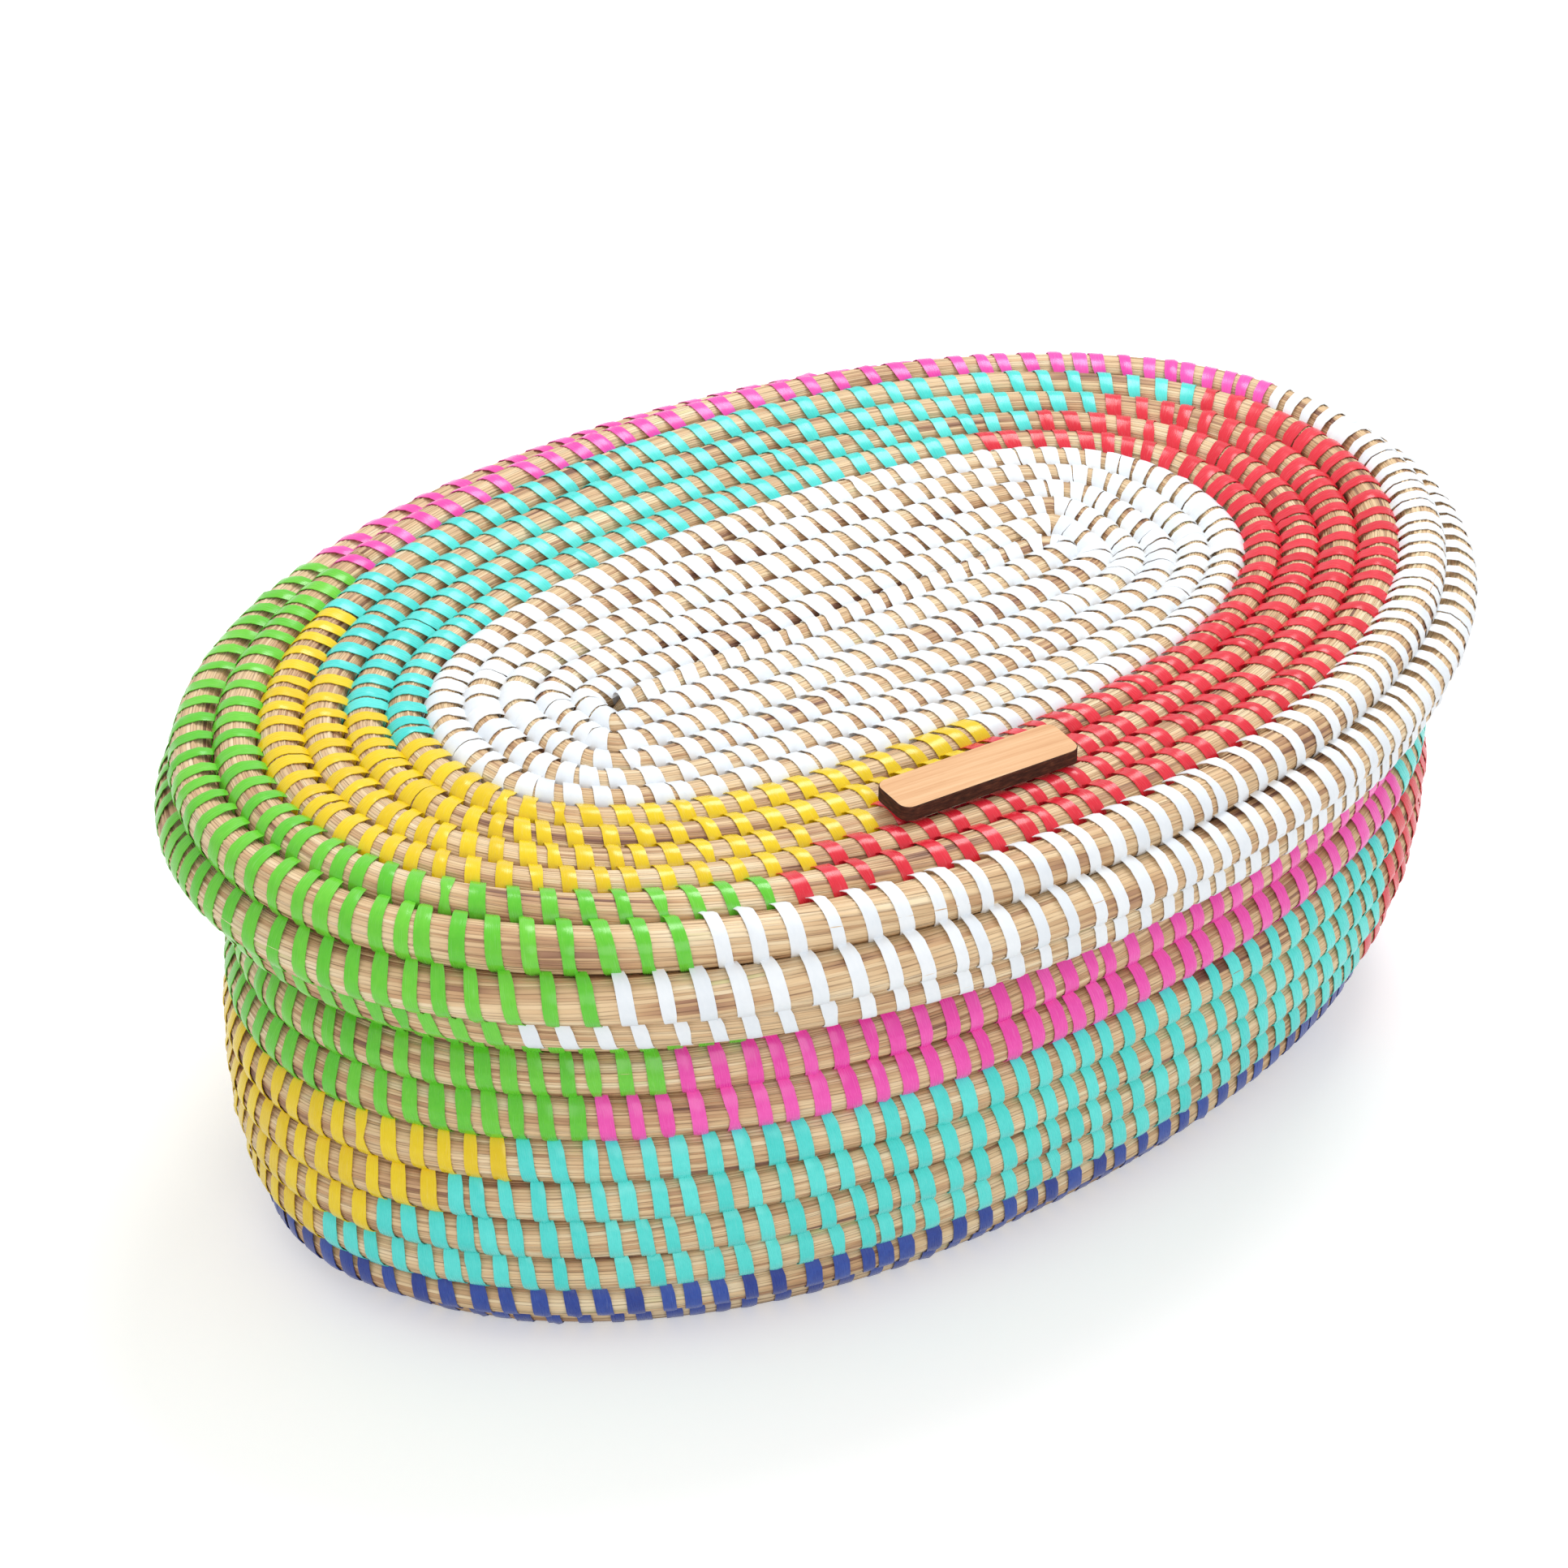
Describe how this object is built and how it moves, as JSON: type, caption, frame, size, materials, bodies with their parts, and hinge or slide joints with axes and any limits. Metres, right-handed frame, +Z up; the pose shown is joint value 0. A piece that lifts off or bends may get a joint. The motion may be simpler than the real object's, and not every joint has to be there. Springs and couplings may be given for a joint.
{
  "type": "lidded coiled basket",
  "caption": "Oval lidded bread basket of coiled grass bundles, with a loose turned-down lid and a small plain wooden tag.",
  "frame": {"origin": "under the middle of the whole basket, on the surface that it stands on", "axes": "+X along the long axis to the right as the front is seen, +Y to the back, +Z up"},
  "size_m": [0.3552, 0.2358, 0.1365],
  "materials": {
    "basket_base_grass": "dry grass bundle, matt",
    "basket_wall_grass": "dry grass bundle, matt",
    "lid_panel_grass": "dry grass bundle, matt",
    "lid_rim_grass": "dry grass bundle, matt",
    "tag_wood": "bare sanded wood",
    "tag_glue": "set glue"
  },
  "bodies": {
    "basket": {"basket_base_coil": "basket_base_grass", "basket_wall_lower_coil": "basket_wall_grass", "basket_wall_upper_coil": "basket_wall_grass"},
    "lid": {"lid_panel_coil": "lid_panel_grass", "lid_rim_coil": "lid_rim_grass", "name_tag": "tag_wood", "tag_glue_pad": "tag_glue"}
  },
  "joints": [
    {"name": "lid_lift", "type": "slide", "parent": "basket", "child": "lid", "axis": [0, 0, 1], "range_m": [0, 0.14]}
  ]
}
